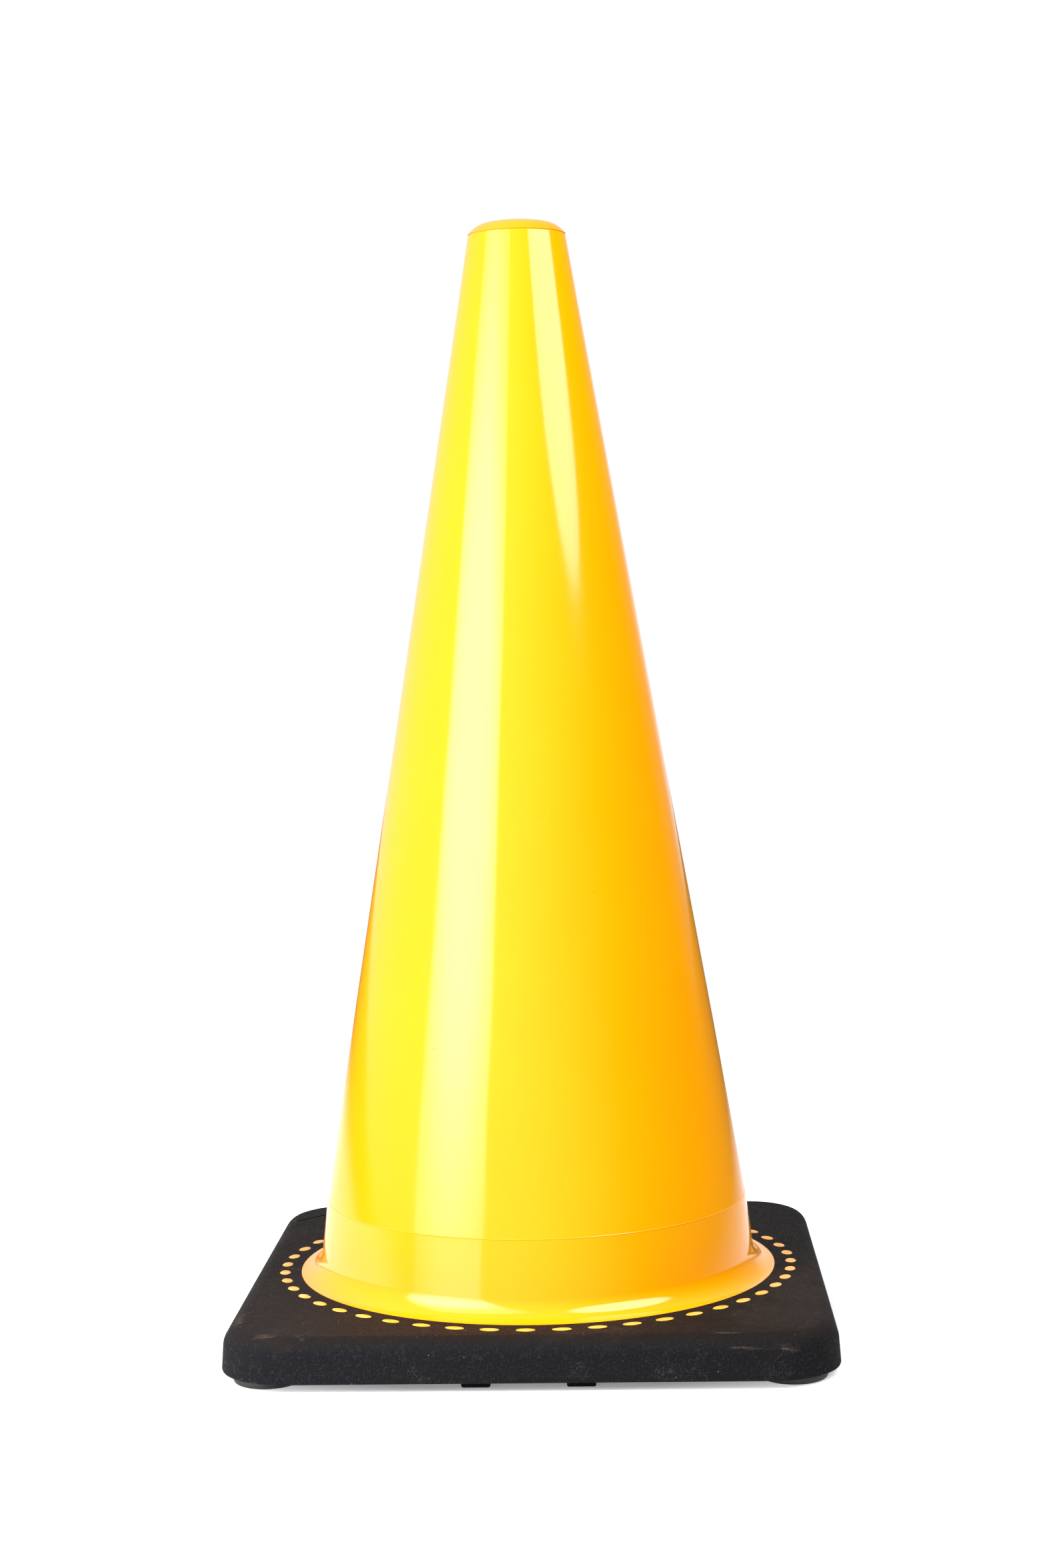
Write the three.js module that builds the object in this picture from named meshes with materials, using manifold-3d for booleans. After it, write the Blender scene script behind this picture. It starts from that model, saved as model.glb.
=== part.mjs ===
// Safety cone of the 28-inch class: a hollow tapered PVC cone whose flange and studs are
// locked into a heavy square base that stands on round corner feet.
// Millimetres, +Z up, origin on the floor at the centre of the footprint.
import * as THREE from 'three';
import { mergeVertices } from 'three/addons/utils/BufferGeometryUtils.js';
import Module from 'manifold-3d';

const wasm = await Module();
wasm.setup();

// ---- driving dimensions: whole object ----
const overallHeight = 711;
const baseWidth = 375.6;
const fitGap = 0.3;

// ---- driving dimensions: base ----
const padHeight = 26.6;
const padCornerRadius = 42;
const padTopRounding = 11;
const wallLean = 1.8;
const footHeight = 5;
const slotFromCorner = 30;
const slotLength = 66;
const slotWidth = 2;
const slotDepth = 4;

// ---- driving dimensions: feet ----
const cornerFootRadius = 21;
const cornerFootInset = 29.8;
const cornerFootRounding = 2;
const footPlugRadius = 8;
const footPlugHeight = 8;
const edgeFootWidth = 17.5;
const edgeFootDepth = 18;
const edgeFootInset = 9.3;
const edgeFootSpacing = 63;

// ---- driving dimensions: cone ----
const shellThickness = 3;
const neckRadius = 31.5;
const lipHeight = 7.2;
const lipCrown = 13.5;
const lipThickness = 4;
const lipShoulder = 4;
const rimRounding = 1.5;
const partingHeight = 47.6;
const lowerWallLean = 4.45;
const flareHeight = 12.4;
const flareReach = 13.95;

// ---- driving dimensions: flange and studs ----
const flangeThickness = 3.5;
const flangeCover = 5;
const flangeEdgeCover = 8.9;
const flangeLedge = 21.4;
const studCount = 48;
const studLength = 12;
const studWidth = 7;
const studRecess = 0.4;
const studTurnDegrees = -0.57;
const openingRelief = 2.3;

// ---- sizes that follow ----
const baseTop = footHeight + padHeight;
const padHalfWidth = baseWidth / 2;
const flangeRadius = padHalfWidth - wallLean - flangeEdgeCover;
const flangeTop = baseTop - flangeCover;
const flangeBottom = flangeTop - flangeThickness;
const flareFootRadius = flangeRadius - flangeLedge;
const flareTopRadius = flareFootRadius - flareReach;
const flareTop = baseTop + flareHeight;
const partingRadius = flareTopRadius - lowerWallLean;
const partingLevel = baseTop + partingHeight;
const studCircleRadius = flangeRadius - flangeLedge / 2;
const neckLevel = overallHeight - lipHeight;
const upperSlope = (partingRadius - neckRadius) / (neckLevel - partingLevel);
const lowerSlope = (flareTopRadius - partingRadius) / (partingLevel - flareTop);
const footCentre = padHalfWidth - cornerFootInset;

const coneYellow = new THREE.MeshStandardMaterial({ color: 0xffd400, roughness: 0.25, metalness: 0 });
const baseBlack = new THREE.MeshStandardMaterial({ color: 0x2a2627, roughness: 0.75, metalness: 0 });
const footBlack = new THREE.MeshStandardMaterial({ color: 0x1d1b1b, roughness: 0.6, metalness: 0 });

// A closed geometry becomes a solid that can be joined and cut.
function toSolid(geometry) {
  const bare = geometry.index ? geometry.toNonIndexed() : geometry.clone();
  bare.deleteAttribute('normal');
  bare.deleteAttribute('uv');
  const merged = mergeVertices(bare, 1e-4);
  return new wasm.Manifold(new wasm.Mesh({
    numProp: 3,
    vertProperties: Float32Array.from(merged.attributes.position.array),
    triVerts: Uint32Array.from(merged.index.array),
  }));
}

function toMesh(name, solid, material) {
  const result = solid.getMesh();
  const geometry = new THREE.BufferGeometry();
  geometry.setAttribute('position', new THREE.BufferAttribute(result.vertProperties, 3));
  geometry.setIndex(new THREE.BufferAttribute(result.triVerts, 1));
  geometry.computeVertexNormals();
  const mesh = new THREE.Mesh(geometry, material);
  mesh.name = name;
  return mesh;
}

// Points on an elliptical arc in the radius-height plane.
function arc(centreRadius, centreLevel, halfWidth, halfHeight, from, to, steps) {
  return Array.from({ length: steps + 1 }, (_, i) => {
    const angle = from + (to - from) * i / steps;
    return new THREE.Vector2(
      centreRadius + halfWidth * Math.cos(angle),
      centreLevel + halfHeight * Math.sin(angle),
    );
  });
}

// A profile of (radius, height) points, turned about the vertical axis.
function turned(profile, segments) {
  const geometry = new THREE.LatheGeometry(profile, segments);
  geometry.rotateX(Math.PI / 2);
  return toSolid(geometry);
}

// The concave flare: one arc that leaves the lower wall smoothly and ends at the base top.
function flareArc() {
  const lean = Math.atan(lowerSlope);
  const chord = flareReach ** 2 + flareHeight ** 2;
  const radius = chord / (2 * (flareReach * Math.cos(lean) - flareHeight * Math.sin(lean)));
  const centreRadius = flareTopRadius + radius * Math.cos(lean);
  const centreLevel = flareTop + radius * Math.sin(lean);
  const foot = Math.atan2(baseTop - centreLevel, flareFootRadius - centreRadius);
  return arc(centreRadius, centreLevel, radius, radius, foot, lean - Math.PI, 6);
}

// Radius of the inside of the shell at a level below the parting line.
function innerLowerRadius(level) {
  return flareTopRadius + lowerSlope * (flareTop - level) - shellThickness;
}

// The shell, its domed lip and the flange, as one closed profile that starts under the flange.
function shellProfile() {
  const crownRadius = neckRadius - lipCrown;
  const crownCurve = (lipCrown ** 2 + lipHeight ** 2) / (2 * lipHeight);
  const crownCentre = overallHeight - crownCurve;
  const crownFoot = Math.atan2(neckLevel - crownCentre, lipCrown);
  const rimCentre = overallHeight - rimRounding;
  const shoulderRadius = neckRadius + upperSlope * lipShoulder - shellThickness;
  const inside = new THREE.Vector2(innerLowerRadius(flangeBottom), flangeBottom);
  return [
    inside,
    new THREE.Vector2(flangeRadius, flangeBottom),
    new THREE.Vector2(flangeRadius, flangeTop),
    new THREE.Vector2(flareFootRadius, flangeTop),
    ...flareArc(),
    new THREE.Vector2(partingRadius, partingLevel),
    ...arc(crownRadius, crownCentre, crownCurve, crownCurve, crownFoot, Math.PI / 2, 7),
    ...arc(crownRadius, rimCentre, rimRounding, rimRounding, Math.PI / 2, Math.PI, 3).slice(1),
    new THREE.Vector2(crownRadius - rimRounding, overallHeight - lipThickness),
    new THREE.Vector2(shoulderRadius, neckLevel - lipShoulder),
    new THREE.Vector2(innerLowerRadius(partingLevel), partingLevel),
    inside.clone(),
  ];
}

// One oblong stud or its hole: an upright oval prism at an angle round the stud circle.
function studPrism(angle, bottom, top, grow) {
  const oval = new THREE.Shape();
  oval.absellipse(0, 0, studWidth / 2 + grow, studLength / 2 + grow, 0, Math.PI * 2);
  const geometry = new THREE.ExtrudeGeometry(oval, {
    depth: top - bottom, bevelEnabled: false, curveSegments: 7,
  });
  geometry.translate(studCircleRadius, 0, bottom);
  geometry.rotateZ(angle);
  return toSolid(geometry);
}

function studAngles() {
  const first = studTurnDegrees * Math.PI / 180;
  return Array.from({ length: studCount }, (_, i) => first + i * 2 * Math.PI / studCount);
}

function coneBody() {
  const rooted = flangeTop - flangeThickness / 2;
  let solid = turned(shellProfile(), 80);
  for (const angle of studAngles()) {
    solid = solid.add(studPrism(angle, rooted, baseTop - studRecess, 0));
  }
  return toMesh('cone_body', solid, coneYellow);
}

// Rounded square with its bottom at z = 0; the top edge is rounded and the walls lean in.
function padBlank() {
  const half = padHalfWidth;
  const round = padCornerRadius;
  const outline = new THREE.Shape();
  outline.moveTo(half, round - half);
  outline.absarc(half - round, half - round, round, 0, Math.PI / 2);
  outline.absarc(round - half, half - round, round, Math.PI / 2, Math.PI);
  outline.absarc(round - half, round - half, round, Math.PI, Math.PI * 1.5);
  outline.absarc(half - round, round - half, round, Math.PI * 1.5, Math.PI * 2);
  const geometry = new THREE.ExtrudeGeometry(outline, {
    depth: padHeight,
    bevelThickness: padTopRounding,
    bevelSize: padTopRounding,
    bevelOffset: -padTopRounding,
    bevelSegments: 4,
    curveSegments: 8,
  });
  geometry.translate(0, 0, -padTopRounding);
  const place = geometry.attributes.position;
  for (let i = 0; i < place.count; i += 1) {
    const shrink = 1 - (wallLean / half) * (place.getZ(i) / padHeight);
    place.setXY(i, place.getX(i) * shrink, place.getY(i) * shrink);
  }
  const below = new THREE.BoxGeometry(baseWidth * 2, baseWidth * 2, padHeight);
  below.translate(0, 0, -padHeight / 2);
  return toSolid(geometry).subtract(toSolid(below)).translate([0, 0, footHeight]);
}

// Everything that the cone and the open middle take out of the base.
function padHollow() {
  const mouth = flareFootRadius + openingRelief;
  const throat = innerLowerRadius(flangeBottom) + fitGap;
  const grooveRadius = flangeRadius + fitGap;
  const past = footHeight;
  const profile = [
    new THREE.Vector2(0, footHeight - past),
    new THREE.Vector2(mouth, footHeight - past),
    new THREE.Vector2(mouth, footHeight),
    new THREE.Vector2(throat, flangeBottom - fitGap),
    new THREE.Vector2(grooveRadius, flangeBottom - fitGap),
    new THREE.Vector2(grooveRadius, flangeTop + fitGap),
    new THREE.Vector2(flareFootRadius + fitGap, flangeTop + fitGap),
    new THREE.Vector2(flareFootRadius + fitGap, baseTop + past),
    new THREE.Vector2(0, baseTop + past),
  ];
  return turned(profile, 80);
}

function cornerPlaces() {
  return [
    ['front_left', -footCentre, -footCentre],
    ['front_right', footCentre, -footCentre],
    ['back_left', -footCentre, footCentre],
    ['back_right', footCentre, footCentre],
  ];
}

// Socket in the underside for the plug of one corner foot.
function footSocket(x, y) {
  const depth = footPlugHeight + fitGap;
  const geometry = new THREE.CylinderGeometry(
    footPlugRadius + fitGap, footPlugRadius + fitGap, depth * 2, 24,
  );
  geometry.rotateX(Math.PI / 2);
  geometry.translate(x, y, footHeight);
  return toSolid(geometry);
}

// Two short blocks under each side, moulded in one with the base.
function edgeFeet() {
  const rooted = footHeight + padHeight / 3;
  const reach = padHalfWidth - edgeFootInset - edgeFootDepth / 2;
  const blocks = [];
  for (let side = 0; side < 4; side += 1) {
    for (const along of [-edgeFootSpacing / 2, edgeFootSpacing / 2]) {
      const block = new THREE.BoxGeometry(edgeFootWidth, edgeFootDepth, rooted);
      block.translate(along, -reach, rooted / 2);
      block.rotateZ(side * Math.PI / 2);
      blocks.push(toSolid(block));
    }
  }
  return blocks;
}

// Straight narrow slot across the back left corner of the top.
function cornerSlot() {
  const corner = (padHalfWidth - wallLean - padCornerRadius) * Math.SQRT2 + padCornerRadius;
  const slot = new THREE.BoxGeometry(slotWidth, slotLength, slotDepth * 2);
  slot.translate(corner - slotFromCorner, 0, baseTop);
  slot.rotateZ(Math.PI * 0.75);
  return toSolid(slot);
}

function basePad() {
  let solid = padBlank();
  for (const block of edgeFeet()) {
    solid = solid.add(block);
  }
  solid = solid.subtract(padHollow()).subtract(cornerSlot());
  for (const angle of studAngles()) {
    solid = solid.subtract(studPrism(angle, flangeTop, baseTop + footHeight, fitGap));
  }
  for (const [, x, y] of cornerPlaces()) {
    solid = solid.subtract(footSocket(x, y));
  }
  return toMesh('base_pad', solid, baseBlack);
}

// Round smooth foot: a disc with a rounded lower edge and a plug on top.
function cornerFoot(name, x, y) {
  const discTop = footHeight - fitGap;
  const edge = cornerFootRadius - cornerFootRounding;
  const profile = [
    new THREE.Vector2(0, 0),
    ...arc(edge, cornerFootRounding, cornerFootRounding, cornerFootRounding, -Math.PI / 2, 0, 3),
    new THREE.Vector2(cornerFootRadius, discTop),
    new THREE.Vector2(footPlugRadius, discTop),
    new THREE.Vector2(footPlugRadius, discTop + footPlugHeight),
    new THREE.Vector2(0, discTop + footPlugHeight),
  ];
  const foot = toMesh(`corner_foot_${name}`, turned(profile, 32), footBlack);
  foot.position.set(x, y, 0);
  return foot;
}

const safetyCone = new THREE.Group();
safetyCone.add(basePad(), coneBody());
for (const [name, x, y] of cornerPlaces()) {
  safetyCone.add(cornerFoot(name, x, y));
}

export default safetyCone;
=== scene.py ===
import math
import random

import bmesh
import bpy
from mathutils import Matrix, Vector


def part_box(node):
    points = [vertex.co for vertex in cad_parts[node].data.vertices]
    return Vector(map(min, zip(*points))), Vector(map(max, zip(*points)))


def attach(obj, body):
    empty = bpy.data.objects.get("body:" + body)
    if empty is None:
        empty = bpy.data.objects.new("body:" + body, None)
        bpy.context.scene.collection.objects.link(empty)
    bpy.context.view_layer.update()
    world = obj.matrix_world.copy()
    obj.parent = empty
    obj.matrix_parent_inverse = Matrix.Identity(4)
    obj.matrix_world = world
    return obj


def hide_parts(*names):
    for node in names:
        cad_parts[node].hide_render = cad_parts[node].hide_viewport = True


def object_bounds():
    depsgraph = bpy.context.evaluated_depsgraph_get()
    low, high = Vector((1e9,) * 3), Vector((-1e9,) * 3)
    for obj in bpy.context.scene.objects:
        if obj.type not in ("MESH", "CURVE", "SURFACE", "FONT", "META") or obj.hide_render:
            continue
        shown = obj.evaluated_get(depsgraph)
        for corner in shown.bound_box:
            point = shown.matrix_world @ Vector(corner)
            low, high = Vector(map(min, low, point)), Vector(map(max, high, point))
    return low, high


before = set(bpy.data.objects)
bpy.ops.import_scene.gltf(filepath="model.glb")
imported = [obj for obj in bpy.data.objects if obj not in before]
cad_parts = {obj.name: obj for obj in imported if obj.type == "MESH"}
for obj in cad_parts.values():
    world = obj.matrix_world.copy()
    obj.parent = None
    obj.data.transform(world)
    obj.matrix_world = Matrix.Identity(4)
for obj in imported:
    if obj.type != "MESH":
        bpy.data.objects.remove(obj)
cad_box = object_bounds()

scene = bpy.context.scene
scene.view_settings.view_transform = "Standard"

# ------------------------------------------------------------------ camera
# A studio camera a little over a metre and a half away, just above the middle of the cone,
# looking slightly down at it. The base is turned a few degrees to the camera.
camera_distance = 1.7129
camera_height = 0.4523
base_turn = math.radians(2.29)
camera_aim = math.radians(0.12)
camera_tilt = math.radians(-3.47)
camera_roll = math.radians(-1.204)

lens = bpy.data.cameras.new("studio_camera")
lens.sensor_width = 36.0
lens.lens = 60.26
camera = bpy.data.objects.new("studio_camera", lens)
scene.collection.objects.link(camera)
camera.matrix_world = (
    Matrix.Translation((
        camera_distance * math.sin(base_turn),
        -camera_distance * math.cos(base_turn),
        camera_height,
    ))
    @ Matrix.Rotation(base_turn + camera_aim, 4, "Z")
    @ Matrix.Rotation(math.radians(90) + camera_tilt, 4, "X")
    @ Matrix.Rotation(camera_roll, 4, "Z")
)
scene.camera = camera

# ------------------------------------------------------------------ studio
# White paper under the cone and behind it, a large softbox to the left in front, a round one
# higher up to the right, and a dim room whose right side is nearly black.
bpy.ops.object.select_all(action="DESELECT")
bpy.ops.mesh.primitive_plane_add(size=14.0, location=(0, 0, 0))
floor = bpy.context.active_object
floor.name = "studio_floor"


def span(nodes, links, value, low, high, out_low, out_high):
    """Maps a value from one range to another and stops at its ends."""
    node = nodes.new("ShaderNodeMapRange")
    node.inputs["From Min"].default_value = low
    node.inputs["From Max"].default_value = high
    node.inputs["To Min"].default_value = out_low
    node.inputs["To Max"].default_value = out_high
    links.new(value, node.inputs["Value"])
    return node.outputs["Result"]


def calculated(nodes, links, operation, first, second):
    """A sum on two values; each is a number or a socket."""
    node = nodes.new("ShaderNodeMath")
    node.operation = operation
    for socket, value in zip(node.inputs, (first, second)):
        if isinstance(value, (int, float)):
            socket.default_value = value
        else:
            links.new(value, socket)
    return node.outputs["Value"]


def distance_to(nodes, links, place, spot):
    """How far a place is from one spot."""
    node = nodes.new("ShaderNodeVectorMath")
    node.operation = "DISTANCE"
    node.inputs[1].default_value = spot
    links.new(place, node.inputs[0])
    return node.outputs["Value"]


floor_paper = bpy.data.materials.new("floor_paper")
floor_paper.use_nodes = True
nodes, links = floor_paper.node_tree.nodes, floor_paper.node_tree.links
paper = nodes["Principled BSDF"].inputs
paper["Roughness"].default_value = 0.9
paper["Specular IOR Level"].default_value = 0.0
paper["Emission Color"].default_value = (1, 1, 1, 1)
place = nodes.new("ShaderNodeTexCoord").outputs["Object"]
rays = nodes.new("ShaderNodeLightPath").outputs

# The paper darkens away from its lit side. It gives light of its own away from the base, which
# is seen straight on and in gloss, and lights nothing.
paper_fade = span(nodes, links, distance_to(nodes, links, place, (-0.6, 0.1, 0)), 0.8, 1.4, 0.7, 0.04)
paper_glow = span(nodes, links, distance_to(nodes, links, place, (0, 0, 0)), 0.19, 0.33, 0.25, 1.0)
paper_mirrored = calculated(nodes, links, "MULTIPLY", rays["Is Glossy Ray"], paper_fade)
paper_visible = calculated(nodes, links, "MAXIMUM", rays["Is Camera Ray"], paper_mirrored)
links.new(paper_fade, paper["Base Color"])
links.new(calculated(nodes, links, "MULTIPLY", paper_glow, paper_visible), paper["Emission Strength"])
floor.data.materials.append(floor_paper)

world = bpy.data.worlds.new("white_studio")
world.use_nodes = True
scene.world = world
nodes, links = world.node_tree.nodes, world.node_tree.links
nodes.clear()
rays = nodes.new("ShaderNodeLightPath").outputs
facing = nodes.new("ShaderNodeSeparateXYZ")
links.new(nodes.new("ShaderNodeTexCoord").outputs["Generated"], facing.inputs["Vector"])

# The room's light: a bright backdrop, walls that darken to the right, less of it on matte
# surfaces, and plain white where the room itself is seen.
backdrop = span(nodes, links, facing.outputs["Y"], 0.82, 0.97, 0.0, 1.2)
walls = span(nodes, links, facing.outputs["X"], -0.2, 0.85, 1.1, 0.02)
on_matte = span(nodes, links, rays["Is Diffuse Ray"], 0.0, 1.0, 1.0, 0.45)
room_light = nodes.new("ShaderNodeBackground")
links.new(
    calculated(nodes, links, "MULTIPLY", calculated(nodes, links, "MAXIMUM", backdrop, walls), on_matte),
    room_light.inputs["Strength"])
room_seen = nodes.new("ShaderNodeBackground")
room_seen.inputs["Strength"].default_value = 1.3
room = nodes.new("ShaderNodeMixShader")
links.new(rays["Is Camera Ray"], room.inputs["Fac"])
links.new(room_light.outputs["Background"], room.inputs[1])
links.new(room_seen.outputs["Background"], room.inputs[2])
links.new(room.outputs["Shader"], nodes.new("ShaderNodeOutputWorld").inputs["Surface"])


def softbox(name, shape, place, side, height, width, length, glow, dim_reach, middle=0.5):
    """A diffuser lit from behind: brightest round its hot spot and dimmer towards its edge."""
    bright_share, edge_glow = 0.3, 0.25
    lamp = bpy.data.lights.new(name, "AREA")
    lamp.shape = shape
    lamp.size = width
    lamp.size_y = length
    covered = width * length if shape == "RECTANGLE" else math.pi * width**2 / 4
    lamp.energy = glow * math.pi * covered
    lamp.use_nodes = True
    nodes, links = lamp.node_tree.nodes, lamp.node_tree.links
    spot = nodes.new("ShaderNodeNewGeometry")
    centred = nodes.new("ShaderNodeMapping")
    centred.inputs["Location"].default_value = (-width / 2, -length * middle, 0)
    centred.inputs["Scale"].default_value = (width, length, 0)
    away = nodes.new("ShaderNodeVectorMath")
    away.operation = "LENGTH"
    dim = nodes.new("ShaderNodeMapRange")
    dim.interpolation_type = "SMOOTHSTEP"
    dim.inputs["From Min"].default_value = dim_reach * bright_share
    dim.inputs["From Max"].default_value = dim_reach
    dim.inputs["To Min"].default_value = 1.0
    dim.inputs["To Max"].default_value = edge_glow
    links.new(spot.outputs["Parametric"], centred.inputs["Vector"])
    links.new(centred.outputs["Vector"], away.inputs[0])
    links.new(away.outputs["Value"], dim.inputs["Value"])
    links.new(dim.outputs["Result"], nodes["Emission"].inputs["Strength"])
    box = bpy.data.objects.new(name, lamp)
    box.visible_camera = False
    scene.collection.objects.link(box)
    back = Vector((
        math.sin(side) * math.cos(height), -math.cos(side) * math.cos(height), math.sin(height),
    ))
    box.matrix_world = Matrix.Translation(place) @ back.to_track_quat("Z", "Y").to_matrix().to_4x4()


softbox("key_softbox", "RECTANGLE", place=(-0.837, -0.835, 0.839),
        side=math.radians(-45), height=math.radians(35),
        width=1.11, length=1.95, glow=10.7, dim_reach=0.8, middle=0.4)
softbox("fill_octabox", "DISK", place=(0.796, -0.460, 1.320),
        side=math.radians(60), height=math.radians(40),
        width=1.17, length=1.17, glow=8.3, dim_reach=1.07)

# ------------------------------------------------------------------ cone
# The yellow cone: one glossy PVC moulding, a thin tapered shell with a domed lip round its
# open top, a fine parting line low down and a flare that runs out into the buried flange.
cone_low, cone_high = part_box("cone_body")
pad_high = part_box("base_pad")[1]
base_top = pad_high.z
flange_radius = cone_high.x
flange_floor = cone_low.z
flange_thickness = 0.0035
flange_ledge = 0.0214
flare_reach = 0.01395
flare_height = 0.0124
lower_wall_lean = 0.00445
parting_height = 0.0476
parting_ridge = 0.00022
parting_half = parting_ridge * 1.6
parting_crest = parting_half * 0.3
shell_thickness = 0.003
neck_radius = 0.0315
lip_height = 0.0072
lip_crown = 0.0135
lip_thickness = 0.004
lip_shoulder = 0.004
lip_crease = 0.0005
rim_rounding = 0.0015
wall_steps = 14
curve_steps = 18
rim_steps = 8
cone_sides = 256
soft_angle = math.radians(35)

flare_foot_radius = flange_radius - flange_ledge
flare_top_radius = flare_foot_radius - flare_reach
flare_top = base_top + flare_height
parting_radius = flare_top_radius - lower_wall_lean
parting_level = base_top + parting_height
neck_level = cone_high.z - lip_height
lower_slope = lower_wall_lean / (parting_level - flare_top)
upper_slope = (parting_radius - neck_radius) / (neck_level - parting_level)


def arc_rings(centre_radius, centre_level, half_width, half_height, start, end, steps):
    """Rings on an elliptical arc, each a (radius, level) pair."""
    turns = [start + (end - start) * i / steps for i in range(steps + 1)]
    return [
        (centre_radius + half_width * math.cos(t), centre_level + half_height * math.sin(t))
        for t in turns
    ]


def flare_rings():
    """The concave flare from the base's top skin up to where the lower wall starts."""
    lean = math.atan(lower_slope)
    chord = flare_reach**2 + flare_height**2
    radius = chord / (2 * (flare_reach * math.cos(lean) - flare_height * math.sin(lean)))
    centre_radius = flare_top_radius + radius * math.cos(lean)
    centre_level = flare_top + radius * math.sin(lean)
    foot = math.atan2(base_top - centre_level, flare_foot_radius - centre_radius)
    return arc_rings(centre_radius, centre_level, radius, radius, foot, lean - math.pi, curve_steps)


def parting_rings():
    """A fine raised line where the two halves of the mould meet."""
    return [
        (parting_radius + lower_slope * parting_half, parting_level - parting_half),
        (parting_radius + parting_ridge, parting_level - parting_crest),
        (parting_radius + parting_ridge, parting_level + parting_crest),
        (parting_radius - upper_slope * parting_half, parting_level + parting_half),
    ]


def wall_rings(steps):
    """The long straight wall, in steps so that its shading stays even."""
    return [
        (
            parting_radius + (neck_radius - parting_radius) * i / steps,
            parting_level + (neck_level - lip_crease * 2 - parting_level) * i / steps,
        )
        for i in range(1, steps)
    ]


def lip_rings():
    """Crease, domed lip that slopes in to the open top, and the short throat under it."""
    crown_radius = neck_radius - lip_crown
    crown_curve = (lip_crown**2 + lip_height**2) / (2 * lip_height)
    crown_centre = cone_high.z - crown_curve
    crown_foot = math.atan2(neck_level - crown_centre, lip_crown)
    rim_centre = cone_high.z - rim_rounding
    quarter = math.pi / 2
    return [
        (neck_radius + upper_slope * lip_crease * 2, neck_level - lip_crease * 2),
        (neck_radius - lip_crease * 0.5, neck_level - lip_crease * 1.2),
        (neck_radius + lip_crease * 0.5, neck_level - lip_crease * 0.3),
        *arc_rings(
            crown_radius, crown_centre, crown_curve, crown_curve, crown_foot, quarter, curve_steps),
        *arc_rings(
            crown_radius, rim_centre, rim_rounding, rim_rounding, quarter, math.pi, rim_steps)[1:],
        (crown_radius - rim_rounding, cone_high.z - lip_thickness),
    ]


def inner_radius(level):
    """Inside of the shell at a level below the parting line."""
    return flare_top_radius + lower_slope * (flare_top - level) - shell_thickness


def throat_ring():
    """Where the inside of the shell meets the underside of the lip."""
    level = neck_level - lip_shoulder
    return (neck_radius + upper_slope * lip_shoulder - shell_thickness, level)


def turned_piece(name, rings, sides):
    """A ring of edges raised ring by ring and closed on itself, like a form on a lathe."""
    radius, level = rings[0]
    bpy.ops.object.select_all(action="DESELECT")
    bpy.ops.mesh.primitive_circle_add(
        vertices=sides, radius=radius, fill_type="NOTHING", location=(0, 0, level))
    piece = bpy.context.active_object
    piece.name = name
    bpy.ops.object.transform_apply(location=True, rotation=True, scale=True)
    bpy.ops.object.mode_set(mode="EDIT")
    bpy.ops.mesh.select_all(action="SELECT")
    for next_radius, next_level in rings[1:]:
        bpy.ops.mesh.extrude_edges_move(
            TRANSFORM_OT_translate={"value": (0, 0, next_level - level)})
        grow = next_radius / radius
        bpy.ops.transform.resize(value=(grow, grow, 1), center_override=(0, 0, next_level))
        radius, level = next_radius, next_level
    bpy.ops.mesh.select_all(action="DESELECT")
    bpy.ops.mesh.select_mode(type="EDGE")
    bpy.ops.mesh.select_non_manifold()
    bpy.ops.mesh.bridge_edge_loops()
    bpy.ops.mesh.select_all(action="SELECT")
    bpy.ops.mesh.normals_make_consistent(inside=False)
    bpy.ops.object.mode_set(mode="OBJECT")
    return piece


cone_rings = [
    (inner_radius(flange_floor), flange_floor),
    (flange_radius, flange_floor),
    (flange_radius, flange_floor + flange_thickness),
    (flare_foot_radius, flange_floor + flange_thickness),
    *flare_rings(),
    *parting_rings(),
    *wall_rings(wall_steps),
    *lip_rings(),
    throat_ring(),
    (inner_radius(parting_level), parting_level),
]
cone = turned_piece("cone_shell", cone_rings, cone_sides)
bpy.ops.object.shade_smooth_by_angle(angle=soft_angle)


def new_finish(name):
    """An empty material with its surface shader, ready for nodes."""
    finish = bpy.data.materials.new(name)
    finish.use_nodes = True
    return finish, finish.node_tree.nodes, finish.node_tree.links


def noise(nodes, links, place, scale, detail):
    """Soft noise read at a place."""
    node = nodes.new("ShaderNodeTexNoise")
    node.inputs["Scale"].default_value = scale
    node.inputs["Detail"].default_value = detail
    links.new(place, node.inputs["Vector"])
    return node.outputs["Fac"]


def mixed(nodes, links, mask, first, second):
    """One colour laid over another by a mask; each colour is a tuple or a socket."""
    node = nodes.new("ShaderNodeMix")
    node.data_type = "RGBA"
    links.new(mask, node.inputs["Factor"])
    for socket, colour in ((node.inputs[6], first), (node.inputs[7], second)):
        if isinstance(colour, tuple):
            socket.default_value = colour
        else:
            links.new(colour, socket)
    return node.outputs[2]


def stretched(nodes, links, place, scale):
    """The same place with each axis scaled, so that a pattern runs long one way."""
    node = nodes.new("ShaderNodeMapping")
    node.inputs["Scale"].default_value = scale
    links.new(place, node.inputs["Vector"])
    return node.outputs["Vector"]


def new_recipe(name, settings):
    """A node group that turns a place and some settings into a mask."""
    recipe = bpy.data.node_groups.new(name, "ShaderNodeTree")
    recipe.interface.new_socket("Place", in_out="INPUT", socket_type="NodeSocketVector")
    for setting in settings:
        recipe.interface.new_socket(setting, in_out="INPUT", socket_type="NodeSocketFloat")
    recipe.interface.new_socket("Mask", in_out="OUTPUT", socket_type="NodeSocketFloat")
    taken = recipe.nodes.new("NodeGroupInput").outputs
    given = recipe.nodes.new("NodeGroupOutput").inputs["Mask"]
    return recipe, recipe.nodes, recipe.links, taken, given


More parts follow.
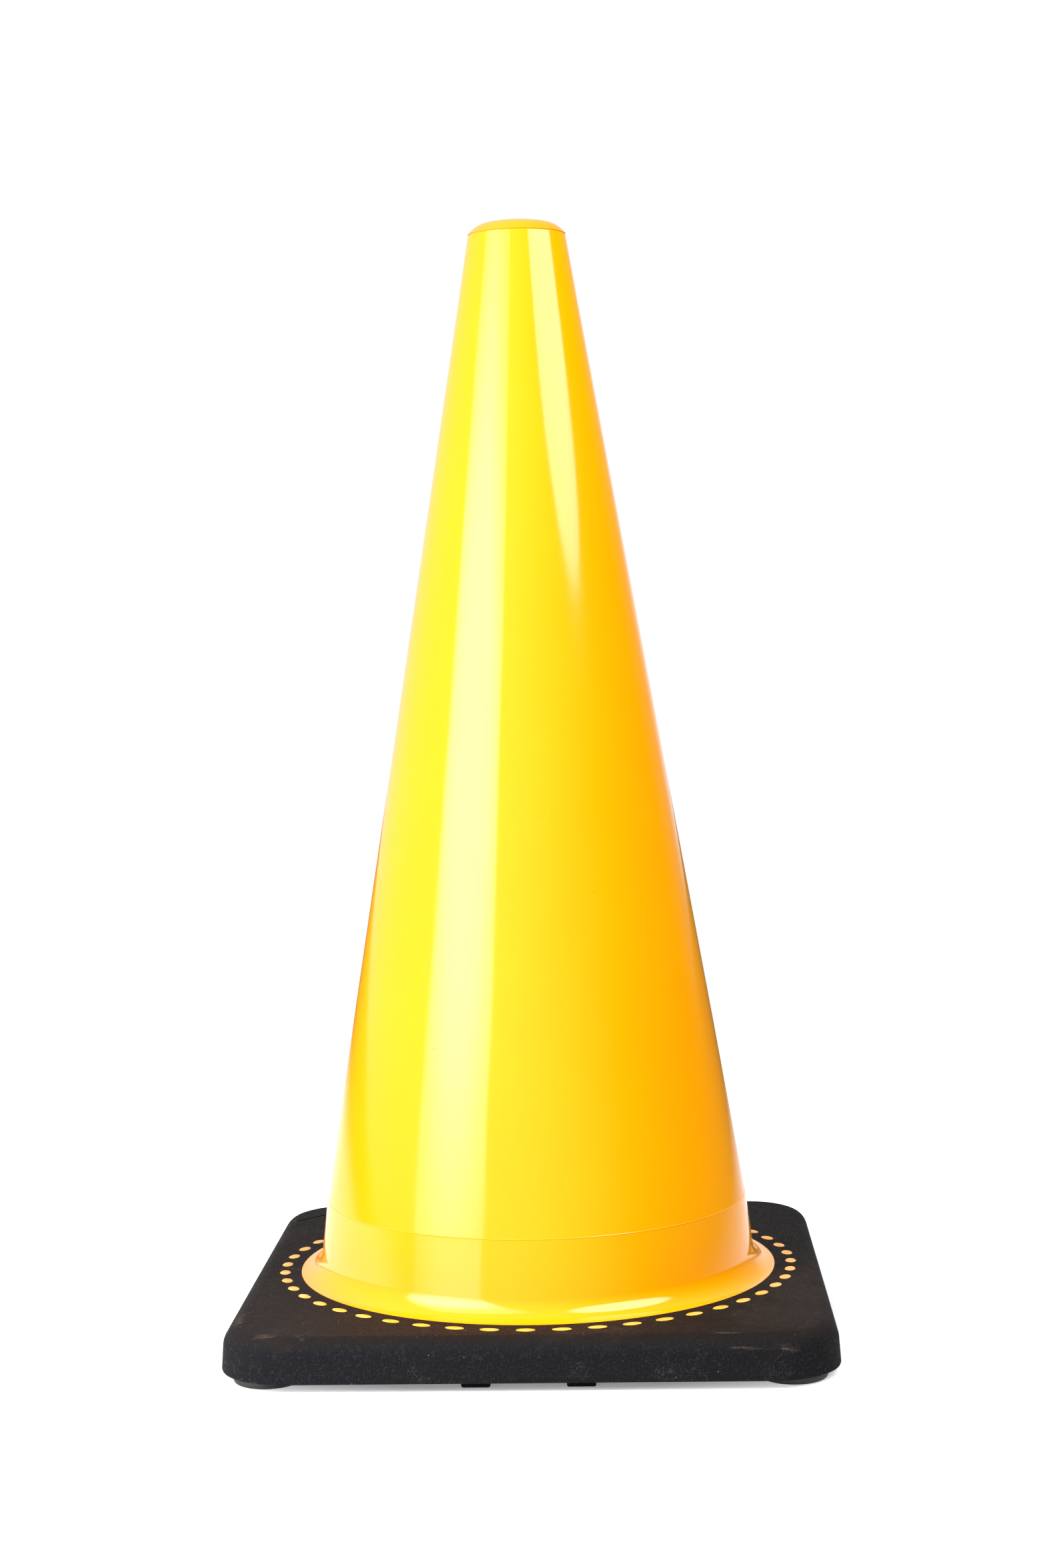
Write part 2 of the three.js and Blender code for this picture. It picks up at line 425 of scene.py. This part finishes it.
def from_recipe(nodes, links, recipe, place, **settings):
    """A mask from a shared recipe, with this material's own settings."""
    node = nodes.new("ShaderNodeGroup")
    node.node_tree = recipe
    links.new(place, node.inputs["Place"])
    for setting, value in settings.items():
        node.inputs[setting].default_value = value
    return node.outputs["Mask"]


specks, nodes, links, taken, given = new_recipe("specks", ("Scale", "Size", "Rarity"))
cells = nodes.new("ShaderNodeTexVoronoi")
links.new(taken["Place"], cells.inputs["Vector"])
links.new(taken["Scale"], cells.inputs["Scale"])
chance = nodes.new("ShaderNodeSeparateColor")
links.new(cells.outputs["Color"], chance.inputs["Color"])
links.new(calculated(
    nodes, links, "MULTIPLY",
    calculated(nodes, links, "LESS_THAN", cells.outputs["Distance"], taken["Size"]),
    calculated(nodes, links, "GREATER_THAN", chance.outputs["Red"], taken["Rarity"])), given)

hairlines, nodes, links, taken, given = new_recipe("hairlines", ("Scale", "Width", "Rarity"))
swirl = nodes.new("ShaderNodeTexNoise")
swirl.inputs["Detail"].default_value = 1.0
links.new(taken["Place"], swirl.inputs["Vector"])
links.new(taken["Scale"], swirl.inputs["Scale"])
patches = nodes.new("ShaderNodeTexNoise")
patches.inputs["Detail"].default_value = 2.0
links.new(taken["Place"], patches.inputs["Vector"])
links.new(calculated(nodes, links, "MULTIPLY", taken["Scale"], 1.7), patches.inputs["Scale"])
off_line = calculated(
    nodes, links, "ABSOLUTE", calculated(nodes, links, "SUBTRACT", swirl.outputs["Fac"], 0.5), 0)
links.new(calculated(
    nodes, links, "MULTIPLY",
    calculated(nodes, links, "LESS_THAN", off_line, taken["Width"]),
    calculated(nodes, links, "GREATER_THAN", patches.outputs["Fac"], taken["Rarity"])), given)

grime, nodes, links, taken, given = new_recipe("grime", ("Scale", "Start", "Full"))
drift = nodes.new("ShaderNodeTexNoise")
drift.inputs["Detail"].default_value = 6.0
drift.inputs["Roughness"].default_value = 0.65
links.new(taken["Place"], drift.inputs["Vector"])
links.new(taken["Scale"], drift.inputs["Scale"])
settled = nodes.new("ShaderNodeMapRange")
links.new(drift.outputs["Fac"], settled.inputs["Value"])
links.new(taken["Start"], settled.inputs["From Min"])
links.new(taken["Full"], settled.inputs["From Max"])
links.new(settled.outputs["Result"], given)

yellow_pvc, nodes, links = new_finish("yellow_pvc")
surface = nodes["Principled BSDF"]
place = nodes.new("ShaderNodeTexCoord").outputs["Object"]
pigment = mixed(nodes, links, from_recipe(nodes, links, grime, place, Scale=9.0, Start=0.35, Full=0.65),
                (0.95, 0.358, 0.0004, 1), (0.95, 0.372, 0.0008, 1))
level = nodes.new("ShaderNodeSeparateXYZ")
links.new(place, level.inputs["Vector"])
# Painted shade: above the crease the lip is given a darker, oranger yellow, standing in for the lesser
# light that falls on its dome.
lip_painted_shade = mixed(nodes, links,
                span(nodes, links, level.outputs["Z"], neck_level - lip_crease, neck_level, 0.0, 1.0),
                pigment, (0.94, 0.30, 0.0004, 1))
rubbed = mixed(nodes, links,
               from_recipe(nodes, links, hairlines, place, Scale=24.0, Width=0.0005, Rarity=0.68),
               lip_painted_shade, (0.95, 0.44, 0.04, 1))
flecked = mixed(nodes, links,
                from_recipe(nodes, links, specks, place, Scale=70.0, Size=0.035, Rarity=0.96),
                rubbed, (0.25, 0.08, 0.01, 1))
links.new(flecked, surface.inputs["Base Color"])
smears = from_recipe(
    nodes, links, grime, stretched(nodes, links, place, (14, 14, 3)), Scale=1.0, Start=0.35, Full=0.75)
links.new(span(nodes, links, smears, 0.0, 1.0, 0.08, 0.15), surface.inputs["Roughness"])
waviness = noise(nodes, links, stretched(nodes, links, place, (16, 16, 5)), 1.0, 1.0)
wave = nodes.new("ShaderNodeBump")
wave.inputs["Strength"].default_value = 0.5
wave.inputs["Distance"].default_value = 0.0016
links.new(waviness, wave.inputs["Height"])
links.new(wave.outputs["Normal"], surface.inputs["Normal"])
cone.data.materials.append(yellow_pvc)
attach(cone, "root")
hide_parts("cone_body")

# ------------------------------------------------------------------ studs
# Forty-eight oblong studs of the same PVC, moulded on the flange, that come up flush through
# the base. Their tops are slightly softened at the rim, and a little ragged from the moulding.
stud_count = 48
stud_length = 0.012
stud_width = 0.007
stud_circle_radius = flange_radius - flange_ledge / 2
stud_top = base_top - 0.00005
stud_floor = flange_floor + flange_thickness
stud_edge = 0.0003
stud_turn = math.radians(-0.57)
stud_sides = 28
stud_raggedness = 0.035
ragged = random.Random(7)


def pick(piece, kind, test):
    """Selects the faces or edges of a piece in edit mode that pass a test."""
    bpy.ops.mesh.select_mode(type="FACE" if kind == "faces" else "EDGE")
    bpy.ops.mesh.select_all(action="DESELECT")
    form = bmesh.from_edit_mesh(piece.data)
    for element in getattr(form, kind):
        element.select = bool(test(element))
    bmesh.update_edit_mesh(piece.data)


def copy_of(piece, name, place):
    """A copy with its own mesh, put in its place by a matrix that goes into the mesh."""
    twin = piece.copy()
    twin.data = piece.data.copy()
    twin.name = name
    twin.data.transform(place)
    scene.collection.objects.link(twin)
    return twin


stud_height = stud_top - stud_floor
bpy.ops.object.select_all(action="DESELECT")
bpy.ops.mesh.primitive_cylinder_add(
    vertices=stud_sides, radius=0.5, depth=stud_height, location=(0, 0, stud_floor + stud_height / 2))
first_stud = bpy.context.active_object
first_stud.scale = (stud_width, stud_length, 1)
bpy.ops.object.transform_apply(location=True, rotation=True, scale=True)
bpy.ops.object.mode_set(mode="EDIT")
pick(first_stud, "faces", lambda f: f.normal.z > 0.9)
bpy.ops.mesh.bevel(offset=stud_edge, segments=2, affect="EDGES")
bpy.ops.object.mode_set(mode="OBJECT")


def stud_place(index):
    """Out to the stud circle, and round it to this stud's own angle."""
    turn = Matrix.Rotation(stud_turn + index * math.tau / stud_count, 4, "Z")
    return turn @ Matrix.Translation((stud_circle_radius, 0, 0))


studs = []
for index in range(stud_count):
    stud = copy_of(first_stud, f"stud_{index}", Matrix.Identity(4))
    for vertex in stud.data.vertices:
        wobble = 1 + ragged.uniform(-stud_raggedness, stud_raggedness)
        vertex.co.x *= wobble
        vertex.co.y *= wobble
    stud.data.transform(stud_place(index))
    studs.append(stud)
bpy.data.objects.remove(first_stud, do_unlink=True)
bpy.ops.object.select_all(action="DESELECT")
for stud in studs:
    stud.select_set(True)
bpy.context.view_layer.objects.active = studs[0]
bpy.ops.object.join()
studs = bpy.context.active_object
studs.name = "flange_studs"
bpy.ops.object.shade_smooth_by_angle(angle=math.radians(50))

scuffed_yellow, nodes, links = new_finish("scuffed_yellow_pvc")
surface = nodes["Principled BSDF"]
place = nodes.new("ShaderNodeTexCoord").outputs["Object"]
scuffed = mixed(nodes, links, from_recipe(nodes, links, grime, place, Scale=120.0, Start=0.4, Full=0.75),
                (0.95, 0.40, 0.02, 1), (0.95, 0.54, 0.15, 1))
links.new(mixed(nodes, links,
                from_recipe(nodes, links, specks, place, Scale=260.0, Size=0.22, Rarity=0.9),
                scuffed, (0.10, 0.05, 0.02, 1)), surface.inputs["Base Color"])
surface.inputs["Roughness"].default_value = 0.32
studs.data.materials.append(scuffed_yellow)
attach(studs, "root")
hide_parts("cone_body")

# ------------------------------------------------------------------ base
# The black base: a thick square of recycled PVC moulded round the flange, with leaning
# grained walls, a rounded top edge and short feet under each side.
foot_height = 0.005
pad_floor = cad_box[0][2] + foot_height
pad_half = pad_high.x
pad_height = base_top - pad_floor
pad_corner_radius = 0.042
pad_top_rounding = 0.011
wall_lean = 0.0018
lower_edge_rounding = 0.0012

bpy.ops.object.select_all(action="DESELECT")
bpy.ops.mesh.primitive_cube_add(size=1.0, location=(0, 0, pad_floor + pad_height / 2))
pad = bpy.context.active_object
pad.name = "base_slab"
pad.scale = (pad_half * 2, pad_half * 2, pad_height)
bpy.ops.object.transform_apply(location=True, rotation=True, scale=True)
bpy.ops.object.mode_set(mode="EDIT")
pick(pad, "edges", lambda e: abs(e.verts[0].co.z - e.verts[1].co.z) > pad_height / 2)
bpy.ops.mesh.bevel(offset=pad_corner_radius, segments=14, affect="EDGES")
pick(pad, "faces", lambda f: f.normal.z > 0.9)
lean = 1 - wall_lean / pad_half
bpy.ops.transform.resize(value=(lean, lean, 1), center_override=(0, 0, base_top))
bpy.ops.mesh.bevel(offset=pad_top_rounding, segments=7, affect="EDGES")
pick(pad, "faces", lambda f: f.normal.z < -0.9)
bpy.ops.mesh.bevel(offset=lower_edge_rounding, segments=2, affect="EDGES")
bpy.ops.object.mode_set(mode="OBJECT")

edge_foot_width = 0.0175
edge_foot_depth = 0.018
edge_foot_inset = 0.0093
edge_foot_spacing = 0.063
edge_foot_root = 0.004
edge_foot_top = pad_floor + edge_foot_root
edge_foot_reach = pad_half - edge_foot_inset - edge_foot_depth / 2
bpy.ops.object.select_all(action="DESELECT")
bpy.ops.mesh.primitive_cube_add(size=1.0)
edge_foot = bpy.context.active_object
edge_foot.scale = (edge_foot_width, edge_foot_depth, edge_foot_top)
bpy.ops.object.transform_apply(location=True, rotation=True, scale=True)
bpy.ops.object.mode_set(mode="EDIT")
pick(edge_foot, "edges", lambda e: min(v.co.z for v in e.verts) < 0)
bpy.ops.mesh.bevel(offset=lower_edge_rounding, segments=2, affect="EDGES")
bpy.ops.object.mode_set(mode="OBJECT")


def combine(piece, tool, operation):
    """Joins a tool piece to a piece, or cuts it out, and takes the tool away."""
    bpy.ops.object.select_all(action="DESELECT")
    bpy.context.view_layer.objects.active = piece
    piece.select_set(True)
    step = piece.modifiers.new("shape", "BOOLEAN")
    step.operation = operation
    step.solver = "EXACT"
    step.object = tool
    bpy.ops.object.modifier_apply(modifier=step.name)
    bpy.data.objects.remove(tool, do_unlink=True)


for side in range(4):
    for along in (-edge_foot_spacing / 2, edge_foot_spacing / 2):
        place = Matrix.Rotation(side * math.pi / 2, 4, "Z") @ Matrix.Translation((
            along, -edge_foot_reach, edge_foot_top / 2,
        ))
        combine(pad, copy_of(edge_foot, "edge_foot_block", place), "UNION")
bpy.data.objects.remove(edge_foot, do_unlink=True)

cut_gap = 0.0003
opening_relief = 0.0023
flare_gap = 0.0002
past_surface = 0.004
groove_start = 0.05
middle_radius = 0.06
groove_sides = 192
middle_sides = 48
mouth_radius = flare_foot_radius + opening_relief
flange_groove = turned_piece("flange_groove", [
    (groove_start, pad_floor - past_surface),
    (mouth_radius, pad_floor - past_surface),
    (mouth_radius, pad_floor - cut_gap),
    (inner_radius(flange_floor) + cut_gap, flange_floor - cut_gap),
    (flange_radius + cut_gap, flange_floor - cut_gap),
    (flange_radius + cut_gap, flange_floor + flange_thickness + cut_gap),
    (flare_foot_radius + flare_gap, flange_floor + flange_thickness + cut_gap),
    (flare_foot_radius + flare_gap, base_top + past_surface),
    (groove_start, base_top + past_surface),
], groove_sides)
combine(pad, flange_groove, "DIFFERENCE")
bpy.ops.object.select_all(action="DESELECT")
bpy.ops.mesh.primitive_cylinder_add(
    vertices=middle_sides, radius=middle_radius, depth=pad_height * 3, location=(0, 0, pad_floor))
middle = bpy.context.active_object
bpy.ops.object.transform_apply(location=True, rotation=True, scale=True)
combine(pad, middle, "DIFFERENCE")

stud_gap = 0.00015
stud_hole_depth = 0.006
bpy.ops.object.select_all(action="DESELECT")
bpy.ops.mesh.primitive_cylinder_add(
    vertices=stud_sides, radius=0.5, depth=stud_hole_depth * 2, location=(0, 0, base_top))
first_hole = bpy.context.active_object
first_hole.scale = (stud_width + stud_gap * 2, stud_length + stud_gap * 2, 1)
bpy.ops.object.transform_apply(location=True, rotation=True, scale=True)
stud_holes = [copy_of(first_hole, f"stud_hole_{i}", stud_place(i)) for i in range(stud_count)]
bpy.data.objects.remove(first_hole, do_unlink=True)
bpy.ops.object.select_all(action="DESELECT")
for hole in stud_holes:
    hole.select_set(True)
bpy.context.view_layer.objects.active = stud_holes[0]
bpy.ops.object.join()
combine(pad, bpy.context.active_object, "DIFFERENCE")

slot_from_corner = 0.030
slot_length = 0.066
slot_width = 0.002
slot_depth = 0.004
bpy.ops.object.select_all(action="DESELECT")
bpy.ops.mesh.primitive_cube_add(size=1.0)
corner_slot = bpy.context.active_object
corner_slot.scale = (slot_width, slot_length, slot_depth * 2)
bpy.ops.object.transform_apply(location=True, rotation=True, scale=True)
corner_reach = (pad_half - wall_lean - pad_corner_radius) * math.sqrt(2) + pad_corner_radius
corner_slot.data.transform(Matrix.Translation((corner_reach - slot_from_corner, 0, base_top)))
corner_slot.data.transform(Matrix.Rotation(math.radians(135), 4, "Z"))
combine(pad, corner_slot, "DIFFERENCE")

bpy.ops.object.select_all(action="DESELECT")
pad.select_set(True)
bpy.context.view_layer.objects.active = pad
bpy.ops.object.shade_smooth_by_angle(angle=soft_angle)
even = pad.modifiers.new("even_shading", "WEIGHTED_NORMAL")
even.keep_sharp = True
even.weight = 80
bpy.ops.object.modifier_apply(modifier=even.name)

black_pvc, nodes, links = new_finish("black_recycled_pvc")
surface = nodes["Principled BSDF"]
surface.inputs["Specular IOR Level"].default_value = 0.12
place = nodes.new("ShaderNodeTexCoord").outputs["Object"]
facing = nodes.new("ShaderNodeSeparateXYZ")
links.new(nodes.new("ShaderNodeNewGeometry").outputs["Normal"], facing.inputs["Vector"])
walls = span(nodes, links, facing.outputs["Z"], 0.35, 0.8, 1.0, 0.0)

# Leather grain: short soft ridges that wander, plain on the walls and weaker on the top.
off_ridge = calculated(
    nodes, links, "ABSOLUTE",
    calculated(nodes, links, "SUBTRACT", noise(nodes, links, place, 560.0, 0.5), 0.5), 0)
cushions = calculated(
    nodes, links, "MULTIPLY",
    span(nodes, links, off_ridge, 0.0, 0.1, 1.0, 0.0),
    span(nodes, links, noise(nodes, links, place, 240.0, 1.0), 0.36, 0.54, 0.5, 1.0))
grain_height = calculated(nodes, links, "MULTIPLY", cushions, span(nodes, links, walls, 0, 1, 0.12, 1))
pebble = nodes.new("ShaderNodeBump")
pebble.inputs["Strength"].default_value = 1.0
pebble.inputs["Distance"].default_value = 0.0005
links.new(grain_height, pebble.inputs["Height"])
links.new(pebble.outputs["Normal"], surface.inputs["Normal"])

wall_tone = mixed(nodes, links, cushions, (0.0050, 0.0050, 0.0064, 1), (0.0112, 0.0110, 0.0136, 1))
top_tone = mixed(nodes, links, from_recipe(nodes, links, grime, place, Scale=26.0, Start=0.3, Full=0.7),
                 (0.0056, 0.0042, 0.0042, 1), (0.0086, 0.0066, 0.0064, 1))
clean = mixed(nodes, links, walls, top_tone, wall_tone)
browned = mixed(nodes, links, from_recipe(nodes, links, grime, place, Scale=8.0, Start=0.55, Full=0.85),
                clean, (0.034, 0.022, 0.017, 1))


def near_places(nodes, links, place, spots):
    """Full at each spot and nothing beyond its reach; each is a place and a reach."""
    mask = None
    for spot, reach in spots:
        moved = nodes.new("ShaderNodeVectorMath")
        moved.operation = "SUBTRACT"
        moved.inputs[1].default_value = spot
        links.new(place, moved.inputs[0])
        sized = nodes.new("ShaderNodeVectorMath")
        sized.operation = "DIVIDE"
        sized.inputs[1].default_value = reach
        links.new(moved.outputs["Vector"], sized.inputs[0])
        away = nodes.new("ShaderNodeVectorMath")
        away.operation = "LENGTH"
        links.new(sized.outputs["Vector"], away.inputs[0])
        near = span(nodes, links, away.outputs["Value"], 0.0, 1.0, 1.0, 0.0)
        mask = near if mask is None else calculated(nodes, links, "MAXIMUM", mask, near)
    return mask


# Dust that has settled on the grain, most of it in three patches of the front wall.
dust_patches = near_places(nodes, links, place, (
    ((0.030, -0.187, base_top - 0.019), (0.008, 0.006, 0.006)),
    ((0.083, -0.187, base_top - 0.020), (0.011, 0.006, 0.008)),
    ((0.147, -0.187, base_top - 0.022), (0.012, 0.008, 0.006)),
))
dust = calculated(
    nodes, links, "MAXIMUM", dust_patches,
    from_recipe(nodes, links, grime, place, Scale=34.0, Start=0.6, Full=0.72))
dusted = mixed(nodes, links, calculated(nodes, links, "MULTIPLY", cushions, dust),
               browned, (0.040, 0.038, 0.038, 1))
scratched = mixed(nodes, links,
                  from_recipe(nodes, links, hairlines, place, Scale=38.0, Width=0.0008, Rarity=0.68),
                  dusted, (0.060, 0.052, 0.048, 1))
speckled = mixed(nodes, links,
                 from_recipe(nodes, links, specks, place, Scale=240.0, Size=0.09, Rarity=0.93),
                 scratched, (0.13, 0.11, 0.10, 1))

# Rub marks where the base has been dragged.
marks = near_places(nodes, links, place, (
    ((-0.158, -0.174, base_top - 0.001), (0.010, 0.004, 0.004)),
    ((0.117, -0.176, base_top - 0.0005), (0.015, 0.002, 0.003)),
    ((0.128, -0.186, base_top - 0.007), (0.015, 0.006, 0.0012)),
    ((0.152, -0.186, base_top - 0.008), (0.012, 0.008, 0.003)),
    ((-0.178, -0.135, base_top - 0.001), (0.004, 0.018, 0.004)),
))
streaks = from_recipe(
    nodes, links, grime, stretched(nodes, links, place, (50, 420, 520)), Scale=1.0, Start=0.46, Full=0.6)
rubbed = mixed(nodes, links, calculated(nodes, links, "MULTIPLY", marks, streaks),
               speckled, (0.090, 0.066, 0.055, 1))
# Painted light and shade: the base's colour is scaled from 1.2 times on its left side down to 0.75 times
# on its right, as the light falls from the left.
across = nodes.new("ShaderNodeSeparateXYZ")
links.new(place, across.inputs["Vector"])
painted_light_side = nodes.new("ShaderNodeVectorMath")
painted_light_side.operation = "SCALE"
links.new(rubbed, painted_light_side.inputs[0])
links.new(span(nodes, links, across.outputs["X"], -0.18, 0.16, 1.2, 0.75), painted_light_side.inputs["Scale"])
links.new(painted_light_side.outputs["Vector"], surface.inputs["Base Color"])
links.new(span(nodes, links, cushions, 0.0, 1.0, 0.85, 0.6), surface.inputs["Roughness"])
pad.data.materials.clear()
pad.data.materials.append(black_pvc)
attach(pad, "root")
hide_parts("base_pad")

# ------------------------------------------------------------------ corner feet
# Four smooth round rubber feet, each a disc with a rounded rim. On the real base a plug holds
# each in a socket in the underside, where it stays hidden.
foot_rim = 0.002
foot_top_rounding = 0.0004
foot_sides = 64

rubber, nodes, links = new_finish("smooth_black_rubber")
surface = nodes["Principled BSDF"]
place = nodes.new("ShaderNodeTexCoord").outputs["Object"]
scuffs = from_recipe(nodes, links, grime, place, Scale=60.0, Start=0.45, Full=0.75)
links.new(mixed(nodes, links, scuffs, (0.012, 0.011, 0.011, 1), (0.03, 0.026, 0.024, 1)),
          surface.inputs["Base Color"])
links.new(span(nodes, links, scuffs, 0.0, 1.0, 0.5, 0.65), surface.inputs["Roughness"])

foot_low, foot_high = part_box("corner_foot_front_left")
foot_radius = (foot_high.x - foot_low.x) / 2
foot_thickness = pad_floor - foot_low.z - cut_gap
bpy.ops.object.select_all(action="DESELECT")
bpy.ops.mesh.primitive_cylinder_add(
    vertices=foot_sides, radius=foot_radius, depth=foot_thickness, location=(0, 0, foot_thickness / 2))
corner_foot = bpy.context.active_object
bpy.ops.object.transform_apply(location=True, rotation=True, scale=True)
bpy.ops.object.mode_set(mode="EDIT")
pick(corner_foot, "faces", lambda f: f.normal.z < -0.9)
bpy.ops.mesh.bevel(offset=foot_rim, segments=5, affect="EDGES")
pick(corner_foot, "faces", lambda f: f.normal.z > 0.9)
bpy.ops.mesh.bevel(offset=foot_top_rounding, segments=2, affect="EDGES")
bpy.ops.object.mode_set(mode="OBJECT")
bpy.ops.object.shade_smooth_by_angle(angle=soft_angle)
corner_foot.data.materials.append(rubber)

for corner in ("front_left", "front_right", "back_left", "back_right"):
    low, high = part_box(f"corner_foot_{corner}")
    place = Matrix.Translation(((low.x + high.x) / 2, (low.y + high.y) / 2, low.z))
    foot = copy_of(corner_foot, f"corner_foot_{corner}_rubber", place)
    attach(foot, "root")
    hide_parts(f"corner_foot_{corner}")
bpy.data.objects.remove(corner_foot, do_unlink=True)
